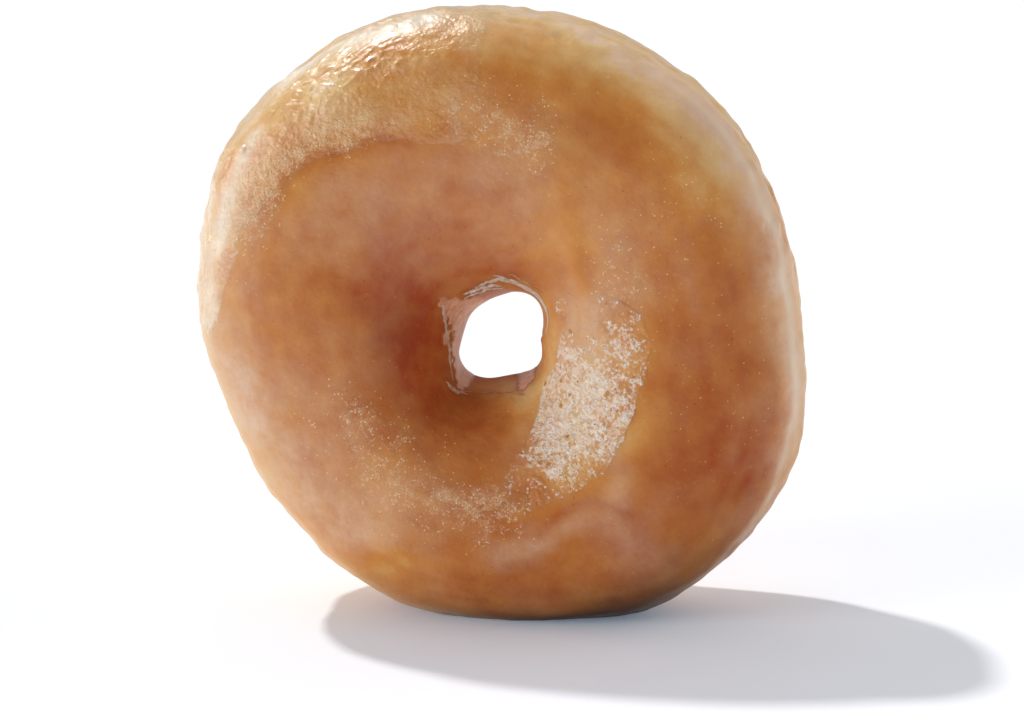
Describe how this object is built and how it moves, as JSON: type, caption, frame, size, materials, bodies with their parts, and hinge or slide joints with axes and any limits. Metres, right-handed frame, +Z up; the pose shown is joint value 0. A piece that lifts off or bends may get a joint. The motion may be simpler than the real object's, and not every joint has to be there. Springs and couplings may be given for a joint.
{
  "type": "glazed ring doughnut",
  "caption": "Glazed ring doughnut of fried yeast dough standing on its outer edge, with a round through hole and a thin translucent sugar glaze.",
  "frame": {"origin": "on the surface the doughnut stands on, under the middle of its bounding box", "axes": "+Z up, +Y along the ring's axis from the front face to the back face, +X to the right seen from the front"},
  "size_m": [0.0882, 0.0346, 0.0889],
  "materials": {
    "glazed_crust": "golden brown fried dough under a thin glossy sugar glaze",
    "sugar_glaze": "set sugar glaze, pale and glossy where it lies thick",
    "pale_crumb": "soft torn dough inside the hole"
  },
  "bodies": {
    "root": {"doughnut": "glazed_crust"}
  },
  "joints": []
}
